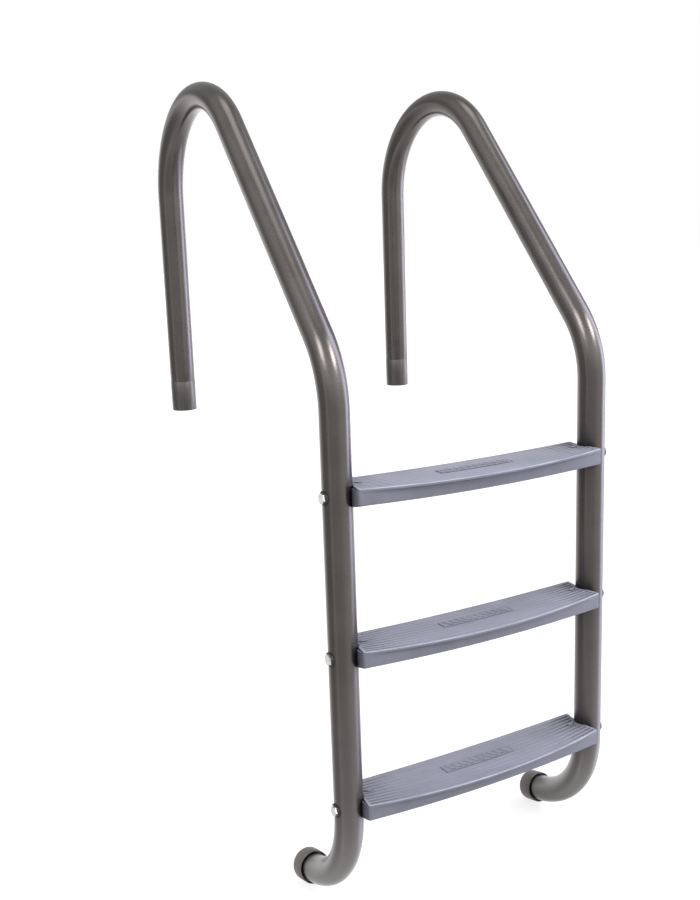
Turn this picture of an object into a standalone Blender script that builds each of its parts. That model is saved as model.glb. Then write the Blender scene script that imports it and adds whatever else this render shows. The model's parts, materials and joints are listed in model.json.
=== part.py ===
"""In-ground pool ladder: two bent tube side rails, three moulded treads, their bolts and the wall bumpers.

Metres, +Z up. +X runs from the left rail to the right rail and +Y from the pool towards the deck.
The origin is the middle of the bounding box in X and Y, at the height of its lowest point.
"""

from math import atan2, cos, pi, radians, sin, sqrt, tan

import bmesh
import bpy
from mathutils import Matrix, Vector

# Side rails: one size of tube, every bend made on the same former
TUBE_RADIUS = 0.02413
TUBE_WALL = 0.00165
RAIL_SPACING = 0.508
LEG_SETBACK = 0.637
BEND_RADIUS = 0.172
SLOPE_FROM_VERTICAL = radians(41)
FOOT_BEND = radians(76)
FOOT_STRAIGHT = 0.0116
TUBE_SIDES = 24
BEND_STEP = radians(9.5)

# Heights, each from the one before it
FOOT_BEND_BELOW_LOWER_TREAD = 0.033
TREAD_PITCH = 0.260
SLOPE_START_ABOVE_UPPER_TREAD = 0.177
LEG_END_ABOVE_UPPER_TREAD = 0.036

# Treads
TREAD_THICKNESS = 0.027
TREAD_FRONT = 0.0425
TREAD_REAR = 0.0395
TREAD_LIP_BULGE = 0.023
TREAD_LIP_DEPTH = 0.004
UNDERCUT_BULGE = 0.0105
UNDERCUT_DEPTH = 0.0105
TREAD_BASE_BULGE = 0.0075
TREAD_DISH = 0.004
HORN_TIP_INSIDE_AXIS = 0.014
HORN_SLANT = 0.184
SEAT_DROP = 0.007
SEAT_RAMP = 0.004
SEAT_RAMP_PAST_NUT_WALL = 0.0005
TREAD_CORNER = 0.002
TOP_PLATE = 0.0045
SKIRT = 0.0045
RIB = 0.003
NUT_WALL = 0.007
NUT_BAY = 0.036
CELL_ROWS = 6
TREAD_X_CUTS = 12
TREAD_Y_CUTS = 3

# Fasteners: M10 low-head hex bolt through the rail, into a nut under the tread
BOLT_BELOW_TREAD_TOP = 0.0168
BOLT_RADIUS = 0.005
BOLT_HOLE_RADIUS = 0.0053
HEX_FLATS = 0.017
HEAD_HEIGHT = 0.0032
NUT_HEIGHT = 0.008
SADDLE_RADIUS = 0.0115
SADDLE_THICKNESS = 0.001
NUT_WASHER_RADIUS = 0.010
NUT_WASHER_THICKNESS = 0.0016
THREAD_PAST_NUT = 0.0025
FASTENER_SIDES = 16
DRILL_LENGTH = 0.060

# Wall bumpers
BUMPER_RADIUS = 0.0285
BUMPER_LENGTH = 0.035
BUMPER_LIP = 0.0015
BUMPER_DOME = 0.0087
DOME_STEPS = 4
MOUTH_CHAMFER = 0.0008
BUMPER_SIDES = 32
SOCKET_DEPTH = 0.008
PLUG_LENGTH = 0.020
PLUG_CHAMFER = 0.002
PLUG_BORE_RADIUS = 0.014
PLUG_BORE_PAST_SOCKET = 0.010

# Clearance between neighbouring pieces, and the distance within which two positions count as one
GAP = 0.0003
TOUCHING = 0.0001
WELD = 0.00001

FOOT_DIP = pi / 2 - FOOT_BEND
SIDES = {"left": -1, "right": 1}
LEVELS = ("lower", "middle", "upper")

RAIL_COLOUR = (0.105, 0.094, 0.088, 1)
TREAD_COLOUR = (0.27, 0.27, 0.33, 1)
STEEL_COLOUR = (0.62, 0.62, 0.60, 1)
NYLON_COLOUR = (0.012, 0.012, 0.013, 1)
BUMPER_COLOUR = (0.12, 0.108, 0.102, 1)


def bumper_profile():
    """(radius, height) along the bumper's axis from its mouth, from outer end round to the plug's bore."""
    corner = BUMPER_LENGTH - BUMPER_DOME
    inner = BUMPER_RADIUS - BUMPER_DOME
    plug = TUBE_RADIUS - TUBE_WALL - 2 * GAP
    floor = SOCKET_DEPTH + GAP
    points = [(0, BUMPER_LENGTH)]
    for step in range(DOME_STEPS + 1):
        angle = pi / 2 * (1 - step / DOME_STEPS)
        points.append((inner + BUMPER_DOME * cos(angle), corner + BUMPER_DOME * sin(angle)))
    points.append((BUMPER_RADIUS, MOUTH_CHAMFER))
    points.append((BUMPER_RADIUS - MOUTH_CHAMFER, 0))
    points.append((BUMPER_RADIUS - BUMPER_LIP, 0))
    points.append((BUMPER_RADIUS - BUMPER_LIP, floor))
    points.append((plug, floor))
    points.append((plug, floor - PLUG_LENGTH + PLUG_CHAMFER))
    points.append((plug - PLUG_CHAMFER, floor - PLUG_LENGTH))
    points.append((PLUG_BORE_RADIUS, floor - PLUG_LENGTH))
    points.append((PLUG_BORE_RADIUS, floor + PLUG_BORE_PAST_SOCKET))
    points.append((0, floor + PLUG_BORE_PAST_SOCKET))
    return points


def foot_depth():
    """How far the lowest point of the bumper lies below the start of the foot's bend."""
    mouth = BEND_RADIUS * sin(FOOT_BEND) + (FOOT_STRAIGHT - SOCKET_DEPTH) * sin(FOOT_DIP)
    return mouth + max(height * sin(FOOT_DIP) + radius * cos(FOOT_DIP) for radius, height in bumper_profile())


FOOT_START_Z = foot_depth()
LOWER_TREAD_Z = FOOT_START_Z + FOOT_BEND_BELOW_LOWER_TREAD
TREAD_TOPS = {level: LOWER_TREAD_Z + step * TREAD_PITCH for step, level in enumerate(LEVELS)}
RAIL_Y = (TREAD_FRONT + TREAD_LIP_BULGE - LEG_SETBACK - TUBE_RADIUS) / 2
LEG_Y = RAIL_Y + LEG_SETBACK


def named_collection(name, hidden=False):
    collection = bpy.data.collections.new(name)
    collection.hide_render = hidden
    bpy.context.scene.collection.children.link(collection)
    return collection


def plain_material(name, colour, roughness, metallic):
    material = bpy.data.materials.new(name)
    material.use_nodes = True
    shader = material.node_tree.nodes["Principled BSDF"]
    shader.inputs["Base Color"].default_value = colour
    shader.inputs["Roughness"].default_value = roughness
    shader.inputs["Metallic"].default_value = metallic
    material.diffuse_color = colour
    return material


def place(name, mesh, collection, location=(0, 0, 0), rotation=(0, 0, 0)):
    placed = bpy.data.objects.new(name, mesh)
    placed.location = location
    placed.rotation_euler = rotation
    collection.objects.link(placed)
    return placed


def helper(name, mesh, location=(0, 0, 0), rotation=(0, 0, 0)):
    """A cutter, or a blank that finished meshes are taken from. It isn't part of the ladder."""
    made = place(name, mesh, cutters, location, rotation)
    made.hide_render = True
    made.display_type = "WIRE"
    return made


def boolean(target, cutter, operation="DIFFERENCE", solver="EXACT"):
    modifier = target.modifiers.new(f"{operation.lower()} {cutter.name}", "BOOLEAN")
    modifier.operation = operation
    modifier.solver = solver
    modifier.object = cutter


def finished_mesh(blank, name, material, smooth_below=radians(35)):
    """The blank's evaluated mesh, with its seams welded and its own material."""
    bpy.context.view_layer.update()
    evaluated = blank.evaluated_get(bpy.context.evaluated_depsgraph_get())
    mesh = bpy.data.meshes.new_from_object(evaluated)
    mesh.name = name
    work = bmesh.new()
    work.from_mesh(mesh)
    bmesh.ops.remove_doubles(work, verts=work.verts, dist=WELD)
    bmesh.ops.recalc_face_normals(work, faces=work.faces)
    work.to_mesh(mesh)
    work.free()
    mesh.materials.clear()
    mesh.materials.append(material)
    mesh.shade_smooth()
    mesh.set_sharp_from_angle(angle=smooth_below)
    return mesh


def prism(name, radius, length, sides, start=0.0, along="X"):
    """A regular prism or cylinder that runs from start to start + length along its axis."""
    work = bmesh.new()
    bmesh.ops.create_cone(
        work, cap_ends=True, cap_tris=False, segments=sides, radius1=radius, radius2=radius, depth=length
    )
    bmesh.ops.translate(work, verts=work.verts, vec=(0, 0, start + length / 2))
    if along == "X":
        bmesh.ops.rotate(work, verts=work.verts, cent=(0, 0, 0), matrix=Matrix.Rotation(pi / 2, 3, "Y"))
    mesh = bpy.data.meshes.new(name)
    work.to_mesh(mesh)
    work.free()
    return mesh


def drill_for_bolt(blank, location=(0, 0, 0), solver="EXACT"):
    """Cuts the bolt's clearance hole along X, to both sides of the location."""
    bit = prism("drill", BOLT_HOLE_RADIUS, DRILL_LENGTH, FASTENER_SIDES, -DRILL_LENGTH / 2)
    boolean(blank, helper(f"{blank.name} drill", bit, location), solver=solver)


def fillet(before, corner, after, radius):
    """Points along the arc of this radius that rounds the corner between two straight runs."""
    to_before = (before - corner).normalized()
    to_after = (after - corner).normalized()
    half = to_before.angle(to_after) / 2
    centre = corner + (to_before + to_after).normalized() * radius / sin(half)
    start = corner + to_before * radius / tan(half) - centre
    end = corner + to_after * radius / tan(half) - centre
    first = atan2(start.y, start.x)
    sweep = (atan2(end.y, end.x) - first + pi) % (2 * pi) - pi
    steps = max(2, round(abs(sweep) / BEND_STEP))
    angles = [first + sweep * step / steps for step in range(steps + 1)]
    return [centre + Vector((cos(angle), sin(angle))) * radius for angle in angles]


def rail_path():
    """The rail's centre line as (y, z) points, from the open leg end over the top and down to the foot."""
    upper = TREAD_TOPS["upper"]
    slope_start = Vector((RAIL_Y, upper + SLOPE_START_ABOVE_UPPER_TREAD))
    slope_end = slope_start + Vector((LEG_SETBACK, LEG_SETBACK / tan(SLOPE_FROM_VERTICAL)))
    leg_end = Vector((LEG_Y, upper + LEG_END_ABOVE_UPPER_TREAD))
    foot_tangent = BEND_RADIUS * tan(FOOT_BEND / 2)
    foot_corner = Vector((RAIL_Y, FOOT_START_Z - foot_tangent))
    foot_end = foot_corner + Vector((cos(FOOT_DIP), -sin(FOOT_DIP))) * (foot_tangent + FOOT_STRAIGHT)
    path = [leg_end]
    path += fillet(leg_end, slope_end, slope_start, BEND_RADIUS)
    path += fillet(slope_end, slope_start, foot_corner, BEND_RADIUS)
    path += fillet(slope_start, foot_corner, foot_end, BEND_RADIUS)
    path.append(foot_end)
    return path


def rail_mesh(material):
    """A hollow tube on the x = 0 plane, drilled through for the three bolts."""
    path = rail_path()
    curve = bpy.data.curves.new("rail centre line", "CURVE")
    curve.dimensions = "3D"
    curve.bevel_depth = TUBE_RADIUS
    curve.bevel_resolution = (TUBE_SIDES - 4) // 2
    curve.use_fill_caps = False
    spline = curve.splines.new("POLY")
    spline.points.add(len(path) - 1)
    for point, (y, z) in zip(spline.points, path):
        point.co = (0, y, z, 1)
    swept = place("rail sweep", curve, cutters)
    bpy.context.view_layer.update()
    skin = bpy.data.meshes.new_from_object(swept.evaluated_get(bpy.context.evaluated_depsgraph_get()))
    bpy.data.objects.remove(swept)
    blank = helper("rail blank", skin)
    wall = blank.modifiers.new("tube wall", "SOLIDIFY")
    wall.thickness = TUBE_WALL
    wall.offset = -1
    wall.use_even_offset = True
    for level in LEVELS:
        drill_for_bolt(blank, (0, RAIL_Y, TREAD_TOPS[level] - BOLT_BELOW_TREAD_TOP), "MANIFOLD")
    return finished_mesh(blank, "rail", material)


def rib_free_span():
    """The x of the nut wall's inner face, which is also where the nut bay starts."""
    return RAIL_SPACING / 2 - TUBE_RADIUS - GAP - NUT_WALL


def front_bulge(z):
    """How far the middle of the tread's front stands out at a height: a lip, its undercut and a skirt."""
    if z > -TREAD_LIP_DEPTH:
        return TREAD_LIP_BULGE
    if z > -UNDERCUT_DEPTH:
        slope = (TREAD_LIP_BULGE - UNDERCUT_BULGE) / (UNDERCUT_DEPTH - TREAD_LIP_DEPTH)
        return TREAD_LIP_BULGE + (z + TREAD_LIP_DEPTH) * slope
    slope = (UNDERCUT_BULGE - TREAD_BASE_BULGE) / (TREAD_THICKNESS - UNDERCUT_DEPTH)
    return UNDERCUT_BULGE + (z + UNDERCUT_DEPTH) * slope


def seat_drop(y):
    """How far the wall round a rail seat reaches below the rest of the tread's base."""
    return SEAT_DROP * (1 - (y / TREAD_FRONT) ** 2)


def cut_across(work, position, axis):
    """New edges where everything crosses a plane square to the axis, without removing anything."""
    everything = work.verts[:] + work.edges[:] + work.faces[:]
    normal = Vector((axis == "X", axis == "Y", axis == "Z"))
    bmesh.ops.bisect_plane(work, geom=everything, plane_co=normal * position, plane_no=normal)


def shape_ends(work, half, base):
    """Draws the top plate's ends in towards the rail seats and deepens the walls round those seats."""
    ramp_end = rib_free_span() + SEAT_RAMP_PAST_NUT_WALL + SEAT_RAMP
    for cut in range(TREAD_Y_CUTS):
        cut_across(work, -TREAD_FRONT + (TREAD_REAR + TREAD_FRONT) * (cut + 1) / (TREAD_Y_CUTS + 1), "Y")
    for sign in SIDES.values():
        cut_across(work, sign * (ramp_end - SEAT_RAMP), "X")
        cut_across(work, sign * ramp_end, "X")
    for vert in work.verts:
        is_end = abs(abs(vert.co.x) - half) < TOUCHING
        if vert.co.z < base + TOUCHING and abs(vert.co.x) > ramp_end - TOUCHING:
            vert.co.z -= seat_drop(vert.co.y)
        if is_end and vert.co.z > -TOUCHING:
            vert.co.x -= (1 if vert.co.x > 0 else -1) * HORN_SLANT * (TREAD_FRONT - abs(vert.co.y))


def moulded_block(name, x_from, x_to, rear, front, base, top, is_body=False):
    """A block between two x planes that follows the tread's bowed front and its dished top.

    rear and front are distances from the rail axis plane. A front behind that plane stays straight."""
    work = bmesh.new()
    bmesh.ops.create_cube(work, size=1)
    bmesh.ops.scale(work, verts=work.verts, vec=(x_to - x_from, rear + front, top - base))
    bmesh.ops.translate(
        work, verts=work.verts, vec=((x_from + x_to) / 2, (rear - front) / 2, (top + base) / 2)
    )
    x_cuts = max(1, round(TREAD_X_CUTS * (x_to - x_from) / RAIL_SPACING))
    for cut in range(x_cuts):
        cut_across(work, x_from + (x_to - x_from) * (cut + 1) / (x_cuts + 1), "X")
    for level in (-TREAD_LIP_DEPTH, -UNDERCUT_DEPTH):
        cut_across(work, level, "Z")
    half = RAIL_SPACING / 2 - HORN_TIP_INSIDE_AXIS
    if is_body:
        shape_ends(work, half, base)
    for vert in work.verts:
        crown = max(0.0, 1 - (vert.co.x / half) ** 2)
        is_bowed = front > 0 and vert.co.y < -front + TOUCHING
        if is_bowed:
            vert.co.y -= front_bulge(vert.co.z) * crown
        vert.co.z -= TREAD_DISH * crown
    bmesh.ops.recalc_face_normals(work, faces=work.faces)
    mesh = bpy.data.meshes.new(name)
    work.to_mesh(mesh)
    work.free()
    return mesh


def tread_cells():
    """(x_from, x_to, rear, front) of each hollow under the tread: a nut bay at each end, pairs in between."""
    inner_rear = TREAD_REAR - SKIRT
    inner_front = TREAD_FRONT - SKIRT
    bay_start = rib_free_span()
    bay_end = bay_start - NUT_BAY
    cells = [(-bay_start, -bay_end, inner_rear, inner_front), (bay_end, bay_start, inner_rear, inner_front)]
    span = 2 * (bay_end - RIB)
    width = (span - (CELL_ROWS - 1) * RIB) / CELL_ROWS
    for row in range(CELL_ROWS):
        x_from = -span / 2 + row * (width + RIB)
        cells.append((x_from, x_from + width, inner_rear, -RIB / 2))
        cells.append((x_from, x_from + width, -RIB / 2, inner_front))
    return cells


def tread_mesh(material):
    """A tread with its top at z = 0 and the rail axes at y = 0: a ribbed shell, open below."""
    half = RAIL_SPACING / 2 - HORN_TIP_INSIDE_AXIS
    body = moulded_block(
        "tread body", -half, half, TREAD_REAR, TREAD_FRONT, -TREAD_THICKNESS, 0, is_body=True
    )
    blank = helper("tread blank", body)
    rounding = blank.modifiers.new("moulded edges", "BEVEL")
    rounding.width = TREAD_CORNER
    rounding.segments = 1
    rounding.limit_method = "ANGLE"
    rounding.angle_limit = radians(65)
    for number, (x_from, x_to, rear, front) in enumerate(tread_cells()):
        cell = moulded_block(
            f"cell {number}", x_from, x_to, rear, front, -1.5 * TREAD_THICKNESS, -TOP_PLATE
        )
        boolean(blank, helper(f"tread cell {number}", cell), solver="MANIFOLD")
    for side, sign in SIDES.items():
        groove = prism("groove", TUBE_RADIUS + 1.5 * GAP, 3 * TREAD_THICKNESS, 2 * TUBE_SIDES, along="Z")
        seat = (sign * RAIL_SPACING / 2, 0, -2 * TREAD_THICKNESS)
        boolean(blank, helper(f"{side} rail groove", groove, seat), solver="MANIFOLD")
        drill_for_bolt(blank, (sign * rib_free_span(), 0, -BOLT_BELOW_TREAD_TOP), "MANIFOLD")
    return finished_mesh(blank, "tread", material, smooth_below=radians(25))


def bolt_mesh(material):
    """A hex bolt along +X, the underside of its head at x = 0."""
    across_corners = HEX_FLATS / sqrt(3)
    grip = SADDLE_THICKNESS + 2 * GAP + 2 * TUBE_RADIUS + GAP + NUT_WALL + GAP
    length = grip + NUT_WASHER_THICKNESS + GAP + NUT_HEIGHT + THREAD_PAST_NUT
    head = prism("bolt head", across_corners, HEAD_HEIGHT, 6, -HEAD_HEIGHT)
    shank = prism("bolt shank", BOLT_RADIUS, length + HEAD_HEIGHT / 2, FASTENER_SIDES, -HEAD_HEIGHT / 2)
    blank = helper("bolt blank", head)
    boolean(blank, helper("bolt shank", shank), "UNION")
    return finished_mesh(blank, "bolt", material)


def drilled_mesh(name, outer, material):
    """A short prism with the bolt's clearance hole along its axis."""
    blank = helper(f"{name} blank", outer)
    drill_for_bolt(blank)
    return finished_mesh(blank, name, material)


def saddle_washer_mesh(material):
    """The washer under a bolt head: flat outside at x = 0, hollowed inside to sit on the tube."""
    reach = SADDLE_THICKNESS + TUBE_RADIUS - sqrt(TUBE_RADIUS**2 - SADDLE_RADIUS**2)
    disc = prism("saddle disc", SADDLE_RADIUS, reach, FASTENER_SIDES)
    blank = helper("saddle washer blank", disc)
    drill_for_bolt(blank)
    tube = prism("saddle tube", TUBE_RADIUS + GAP, DRILL_LENGTH, 2 * TUBE_SIDES, -DRILL_LENGTH / 2, along="Z")
    seat = (SADDLE_THICKNESS + TUBE_RADIUS + GAP, 0, 0)
    boolean(blank, helper("saddle washer tube", tube, seat))
    return finished_mesh(blank, "saddle washer", material)


def bumper_mesh(material):
    """The bumper turned about +Z: mouth at z = 0, outer end up, plug below."""
    profile = bumper_profile()
    mesh = bpy.data.meshes.new("bumper profile")
    points = [(radius, 0, height) for radius, height in profile]
    mesh.from_pydata(points, [(i, i + 1) for i in range(len(points) - 1)], [])
    blank = helper("bumper blank", mesh)
    turned = blank.modifiers.new("turned", "SCREW")
    turned.axis = "Z"
    turned.steps = BUMPER_SIDES
    turned.render_steps = BUMPER_SIDES
    turned.use_merge_vertices = True
    turned.merge_threshold = WELD
    return finished_mesh(blank, "bumper", material)


def build_rails(ladder):
    mesh = rail_mesh(plain_material("powder_coated_tube", RAIL_COLOUR, roughness=0.42, metallic=0.75))
    for side, sign in SIDES.items():
        place(f"{side}_rail", mesh, ladder, (sign * RAIL_SPACING / 2, 0, 0))


def build_treads(ladder):
    mesh = tread_mesh(plain_material("moulded_tread_plastic", TREAD_COLOUR, roughness=0.6, metallic=0))
    for level in LEVELS:
        place(f"{level}_tread", mesh, ladder, (0, RAIL_Y, TREAD_TOPS[level]))


def build_fasteners(ladder):
    """Six bolts, each from outside its rail inwards: head, saddle washer, rail, tread wall, washer, nut."""
    steel = plain_material("stainless_steel", STEEL_COLOUR, roughness=0.22, metallic=1)
    nylon = plain_material("black_nylon", NYLON_COLOUR, roughness=0.55, metallic=0)
    bolt = bolt_mesh(steel)
    saddle = saddle_washer_mesh(nylon)
    flat = prism("flat washer disc", NUT_WASHER_RADIUS, NUT_WASHER_THICKNESS, FASTENER_SIDES)
    washer = drilled_mesh("nut washer", flat, steel)
    hexagon = prism("nut hexagon", HEX_FLATS / sqrt(3), NUT_HEIGHT, 6)
    nut = drilled_mesh("nut", hexagon, steel)
    saddle_x = RAIL_SPACING / 2 + TUBE_RADIUS + GAP + SADDLE_THICKNESS
    washer_x = rib_free_span() - GAP
    nut_x = washer_x - NUT_WASHER_THICKNESS - GAP
    stack = (("bolt", bolt, saddle_x + GAP), ("head_washer", saddle, saddle_x),
             ("nut_washer", washer, washer_x), ("nut", nut, nut_x))
    for level in LEVELS:
        height = TREAD_TOPS[level] - BOLT_BELOW_TREAD_TOP
        for side, sign in SIDES.items():
            inwards = (0, 0, 0 if sign < 0 else pi)
            for piece, mesh, x in stack:
                place(f"{level}_{side}_{piece}", mesh, ladder, (sign * x, RAIL_Y, height), inwards)


def build_bumpers(ladder):
    mesh = bumper_mesh(plain_material("moulded_bumper_plastic", BUMPER_COLOUR, roughness=0.5, metallic=0))
    end_y, end_z = rail_path()[-1]
    mouth_y = end_y - SOCKET_DEPTH * cos(FOOT_DIP)
    mouth_z = end_z + SOCKET_DEPTH * sin(FOOT_DIP)
    for side, sign in SIDES.items():
        along_foot = (-(pi / 2 + FOOT_DIP), 0, 0)
        place(f"{side}_bumper", mesh, ladder, (sign * RAIL_SPACING / 2, mouth_y, mouth_z), along_foot)


for leftover in list(bpy.data.objects):
    bpy.data.objects.remove(leftover)
pool_ladder = named_collection("pool_ladder")
cutters = named_collection("cutters", hidden=True)
build_rails(pool_ladder)
build_treads(pool_ladder)
build_fasteners(pool_ladder)
build_bumpers(pool_ladder)
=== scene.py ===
import json
from math import atan2, cos, pi, radians, sin, sqrt, tan

import bmesh
import bpy
from mathutils import Matrix, Vector


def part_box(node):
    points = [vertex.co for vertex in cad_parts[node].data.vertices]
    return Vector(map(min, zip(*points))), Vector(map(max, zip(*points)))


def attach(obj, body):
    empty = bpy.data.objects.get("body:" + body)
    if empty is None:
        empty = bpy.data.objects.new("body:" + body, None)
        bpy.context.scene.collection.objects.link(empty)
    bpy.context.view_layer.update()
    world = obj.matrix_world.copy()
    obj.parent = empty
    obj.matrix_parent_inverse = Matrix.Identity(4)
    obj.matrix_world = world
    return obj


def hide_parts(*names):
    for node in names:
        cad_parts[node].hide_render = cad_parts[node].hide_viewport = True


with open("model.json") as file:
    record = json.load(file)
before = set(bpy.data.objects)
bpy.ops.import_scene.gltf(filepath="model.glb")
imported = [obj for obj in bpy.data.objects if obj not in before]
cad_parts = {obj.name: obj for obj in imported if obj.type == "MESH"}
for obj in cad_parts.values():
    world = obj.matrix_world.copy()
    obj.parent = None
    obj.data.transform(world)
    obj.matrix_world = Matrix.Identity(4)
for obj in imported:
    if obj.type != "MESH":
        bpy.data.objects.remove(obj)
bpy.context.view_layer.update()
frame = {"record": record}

# ------------------------ sizes, in metres, the same as the CAD's

TUBE_RADIUS = 0.02413
TUBE_WALL = 0.00165
BEND_RADIUS = 0.172
SLOPE_FROM_VERTICAL = radians(41)
FOOT_BEND = radians(76)
FOOT_DIP = pi / 2 - FOOT_BEND
FOOT_STRAIGHT = 0.0116
FOOT_BEND_BELOW_LOWER_TREAD = 0.033
SLOPE_START_ABOVE_UPPER_TREAD = 0.177

TREAD_THICKNESS = 0.027
TREAD_FRONT = 0.0425
TREAD_REAR = 0.0395
TREAD_DISH = 0.004
LIP_BULGE = 0.023
LIP_DEPTH = 0.004
UNDERCUT_BULGE = 0.0105
UNDERCUT_DEPTH = 0.0105
BASE_BULGE = 0.0075
HORN_TIP_INSIDE_AXIS = 0.014
HORN_SLANT = 0.184
SEAT_DROP = 0.007
SEAT_RAMP = 0.004
SEAT_RAMP_PAST_NUT_WALL = 0.0005
TOP_PLATE = 0.0045
SKIRT = 0.0045
RIB = 0.003
NUT_WALL = 0.007
NUT_BAY = 0.036
CELL_ROWS = 6

BOLT_BELOW_TREAD_TOP = 0.0168
BOLT_RADIUS = 0.005
BOLT_HOLE_RADIUS = 0.0053
HEX_FLATS = 0.017
HEAD_HEIGHT = 0.0032
NUT_HEIGHT = 0.008
SADDLE_RADIUS = 0.0115
SADDLE_THICKNESS = 0.001
NUT_WASHER_RADIUS = 0.010
NUT_WASHER_THICKNESS = 0.0016
THREAD_PAST_NUT = 0.0025

BUMPER_RADIUS = 0.0285
BUMPER_LENGTH = 0.035
BUMPER_LIP = 0.0015
BUMPER_DOME = 0.0087
SOCKET_DEPTH = 0.008
PLUG_LENGTH = 0.020
PLUG_BORE_RADIUS = 0.014
PLUG_BORE_PAST_SOCKET = 0.010

# Clearance between neighbouring pieces, and the radius of a tread's seat on the rail
GAP = 0.0003
SEAT_RADIUS = TUBE_RADIUS + 1.5 * GAP

# A line scribed on each leg shows how far it goes into its anchor
INSERTION_MARK = 0.058

SIDES = {"left": -1, "right": 1}
LEVELS = ("lower", "middle", "upper")

# Where the CAD has put things
MOUNTS = {mount["name"]: mount for mount in frame["record"]["mounts"]}
RAIL_X = {side: (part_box(f"{side}_rail")[0][0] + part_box(f"{side}_rail")[1][0]) / 2 for side in SIDES}
RAIL_SPACING = RAIL_X["right"] - RAIL_X["left"]
RAIL_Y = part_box("left_rail")[0][1] + TUBE_RADIUS
LEG_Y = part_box("left_rail")[1][1] - TUBE_RADIUS
LEG_END_Z = MOUNTS["left_leg_end"]["pos_m"][2]
LEG_MARK_Z = LEG_END_Z + INSERTION_MARK
TREAD_TOPS = {level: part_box(f"{level}_tread")[1][2] for level in LEVELS}
FOOT_START_Z = TREAD_TOPS["lower"] - FOOT_BEND_BELOW_LOWER_TREAD
HALF_TREAD = RAIL_SPACING / 2 - HORN_TIP_INSIDE_AXIS
WALL_INSIDE = RAIL_SPACING / 2 - TUBE_RADIUS - GAP - NUT_WALL

scene = bpy.context.scene
workshop = bpy.data.collections.new("workshop")
scene.collection.children.link(workshop)
shown = bpy.data.collections.new("ladder_looks")
scene.collection.children.link(shown)


# ------------------------ mesh tools

IN_PLACE = Matrix.Identity(4)
WELD = 2e-6
ON_AXIS = 1e-7
DRILL_SIDES = 32


def smoothstep(low, high, value):
    t = min(1.0, max(0.0, (value - low) / (high - low)))
    return t * t * (3 - 2 * t)


def arc(centre, radius, start, end, steps):
    """Points along an arc between two angles in degrees, with both of its ends."""
    angles = [radians(start + (end - start) * step / steps) for step in range(steps + 1)]
    return [(centre[0] + radius * cos(angle), centre[1] + radius * sin(angle)) for angle in angles]


def circle(radius, height, sides):
    """A ring of points about Z."""
    angles = [2 * pi * k / sides for k in range(sides)]
    return [(radius * cos(angle), radius * sin(angle), height) for angle in angles]


def temp(name, mesh, matrix=IN_PLACE):
    """A helper object that is thrown away once its mesh has been used."""
    made = bpy.data.objects.new(name, mesh)
    workshop.objects.link(made)
    made.matrix_world = matrix
    return made


def from_bmesh(work, name):
    bmesh.ops.recalc_face_normals(work, faces=work.faces)
    mesh = bpy.data.meshes.new(name)
    work.to_mesh(mesh)
    work.free()
    return mesh


def from_faces(verts, faces, name):
    mesh = bpy.data.meshes.new(name)
    mesh.from_pydata(verts, [], faces)
    work = bmesh.new()
    work.from_mesh(mesh)
    return from_bmesh(work, name)


def loft(name, rings, wrap=False):
    """Skin through rings of the same number of points. It is capped at both ends, or joined end to end."""
    count, around = len(rings), len(rings[0])
    verts = [point for ring in rings for point in ring]
    faces = []
    for i in range(count if wrap else count - 1):
        a, b = i * around, (i + 1) % count * around
        for j in range(around):
            k = (j + 1) % around
            faces.append((a + j, a + k, b + k, b + j))
    if not wrap:
        faces.append(tuple(range(around)))
        faces.append(tuple(range((count - 1) * around, count * around)))
    return from_faces(verts, faces, name)


def lathe(name, profile, sides, closed=False):
    """Turns (radius, height) points about Z. A point on the axis becomes one pole."""
    work = bmesh.new()
    rows = []
    for radius, height in profile:
        ring = circle(radius, height, sides) if radius > ON_AXIS else [(0, 0, height)]
        rows.append([work.verts.new(point) for point in ring])
    pairs = list(zip(rows, rows[1:]))
    if closed:
        pairs.append((rows[-1], rows[0]))
    for low, high in pairs:
        for k in range(sides):
            n = (k + 1) % sides
            ring = [low[k % len(low)], low[n % len(low)], high[n % len(high)], high[k % len(high)]]
            corners = list(dict.fromkeys(ring))
            if len(corners) > 2:
                work.faces.new(corners)
    return from_bmesh(work, name)


def prism(name, radius, length, sides, start):
    """A regular prism along Z from start to start + length."""
    work = bmesh.new()
    bmesh.ops.create_cone(work, cap_ends=True, segments=sides, radius1=radius, radius2=radius, depth=length)
    bmesh.ops.translate(work, verts=work.verts, vec=(0, 0, start + length / 2))
    return from_bmesh(work, name)


def bolt_hole(at, length):
    """The step that drills a bolt hole along X, with its middle at a point."""
    turn = Matrix.Translation(at) @ Matrix.Rotation(pi / 2, 4, "Y")
    return "DIFFERENCE", prism("drill", BOLT_HOLE_RADIUS, length, DRILL_SIDES, -length / 2), turn


def combined(name, mesh, steps):
    """The mesh after a list of (operation, cutter mesh, cutter matrix)."""
    target = temp(name, mesh)
    made = [target]
    for number, (operation, cutter_mesh, matrix) in enumerate(steps):
        cutter = temp(f"{name} cutter {number}", cutter_mesh, matrix)
        made.append(cutter)
        modifier = target.modifiers.new(cutter.name, "BOOLEAN")
        modifier.operation = operation
        modifier.solver = "MANIFOLD"
        modifier.object = cutter
    bpy.context.view_layer.update()
    result = bpy.data.meshes.new_from_object(target.evaluated_get(bpy.context.evaluated_depsgraph_get()))
    result.name = name
    for leftover in made:
        bpy.data.objects.remove(leftover)
    return result


def finished(mesh, sharp_degrees):
    """Welds seams, drops slivers and shades the mesh smooth up to an angle."""
    work = bmesh.new()
    work.from_mesh(mesh)
    bmesh.ops.remove_doubles(work, verts=work.verts, dist=WELD)
    bmesh.ops.dissolve_degenerate(work, edges=work.edges, dist=WELD)
    bmesh.ops.recalc_face_normals(work, faces=work.faces)
    work.to_mesh(mesh)
    work.free()
    mesh.shade_smooth()
    mesh.set_sharp_from_angle(angle=radians(sharp_degrees))
    return mesh


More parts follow.
